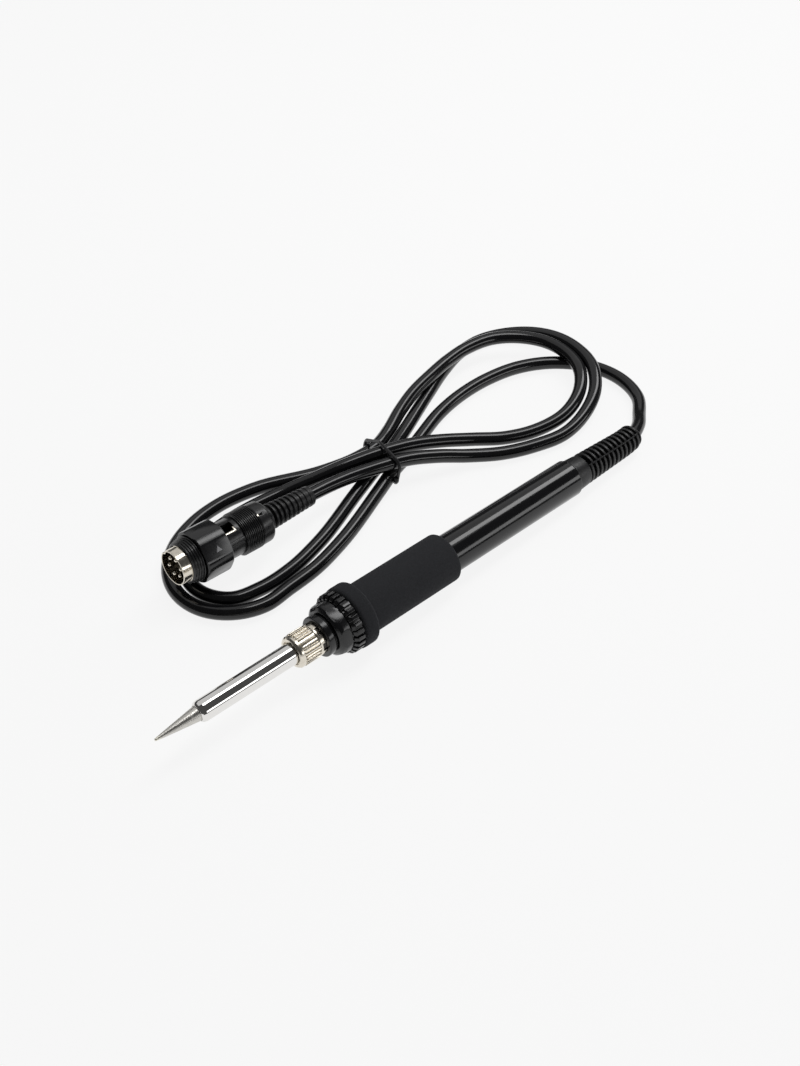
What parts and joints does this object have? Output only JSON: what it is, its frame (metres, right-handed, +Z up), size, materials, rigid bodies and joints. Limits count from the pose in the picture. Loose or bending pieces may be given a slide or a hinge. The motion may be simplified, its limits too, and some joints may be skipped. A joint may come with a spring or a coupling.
{
  "type": "soldering iron",
  "caption": "Pencil soldering iron for a station: cone tip, steel enclosure, foam grip, ribbed boot, tied-up flexible cord and keyed round plug.",
  "frame": {"origin": "middle of the iron's footprint on the table, measured without the free cord and plug", "axes": "+X along the iron from its tip to its cord, +Y from the iron towards the coiled cord, +Z up from the table"},
  "size_m": [0.2586, 0.1033, 0.0252],
  "materials": {
    "plated_tip": "satin iron and chromium plating, tinned at the very end",
    "polished_steel": "polished stainless steel",
    "warm_nickel": "turned and nickel plated, slightly warm",
    "spring_steel": "drawn wire",
    "ceramic": "unglazed off-white",
    "tinned_wire": "tinned metal",
    "solder": "dull solder",
    "board": "green glass-fibre board",
    "black_gloss_plastic": "moulded, glossy",
    "black_plastic": "moulded, satin",
    "plug_plastic": "moulded, satin gloss",
    "foam": "fine closed-cell foam, matte",
    "black_rubber": "soft moulded rubber, satin",
    "cord_jacket": "smooth flexible jacket, satin",
    "wire_insulation": "thin insulation",
    "tie_plastic": "plastic-coated tie wire",
    "plug_nickel": "bright nickel plating"
  },
  "bodies": {
    "iron": {"heating_element": "ceramic", "element_collar": "polished_steel", "heater_leads": "tinned_wire", "terminal_board": "board", "solder_joints": "solder", "connection_cover": "black_plastic", "handle": "black_gloss_plastic", "foam_grip": "foam", "handle_wires": "wire_insulation", "cord_stopper": "black_rubber", "cord_in_handle": "cord_jacket", "cord_boot": "black_rubber", "cord": "cord_jacket", "cord_tie": "tie_plastic", "plug_shell": "plug_nickel", "plug_insulator": "black_plastic", "plug_pins": "plug_nickel", "plug_front_ring": "plug_plastic", "plug_body": "plug_plastic", "plug_latch": "plug_nickel", "plug_sleeve": "plug_plastic", "plug_wires": "wire_insulation", "plug_cord_clamp": "tinned_wire", "cord_in_plug": "cord_jacket", "plug_boot": "black_rubber"},
    "spring": {"ground_spring": "spring_steel"},
    "nipple": {"nipple": "black_gloss_plastic", "nipple_insert": "warm_nickel"},
    "enclosure": {"tip_enclosure": "polished_steel", "tip": "plated_tip"},
    "nut": {"enclosure_nut": "warm_nickel"},
    "locking_collar": {"plug_collar": "plug_plastic"}
  },
  "joints": [
    {"name": "nipple_slide", "type": "slide", "parent": "iron", "child": "spring", "axis": [-0.9992, 0, 0.0397], "range_m": [0, 0.003]},
    {"name": "nipple_turn", "type": "hinge", "parent": "spring", "child": "nipple", "pos_m": [-0.04453, 0, 0.01203], "axis": [-0.9992, 0, 0.0397], "range_deg": [0, 1080]},
    {"name": "enclosure_slide", "type": "slide", "parent": "nipple", "child": "enclosure", "axis": [-0.9992, 0, 0.0397], "range_m": [0, 0.003]},
    {"name": "nut_turn", "type": "hinge", "parent": "enclosure", "child": "nut", "pos_m": [-0.05652, 0, 0.0125], "axis": [-0.9992, 0, 0.0397], "range_deg": [0, 1080]},
    {"name": "collar_turn", "type": "hinge", "parent": "iron", "child": "locking_collar", "pos_m": [-0.05436, 0.05524, 0.01522], "axis": [-0.9954, -0.0243, 0.0924], "range_deg": [0, 30]}
  ],
  "couplings": [
    {"joint": "nipple_turn", "follows": "nipple_slide", "rad_per_m": 6283.2},
    {"joint": "nut_turn", "follows": "enclosure_slide", "rad_per_m": 6283.2}
  ]
}
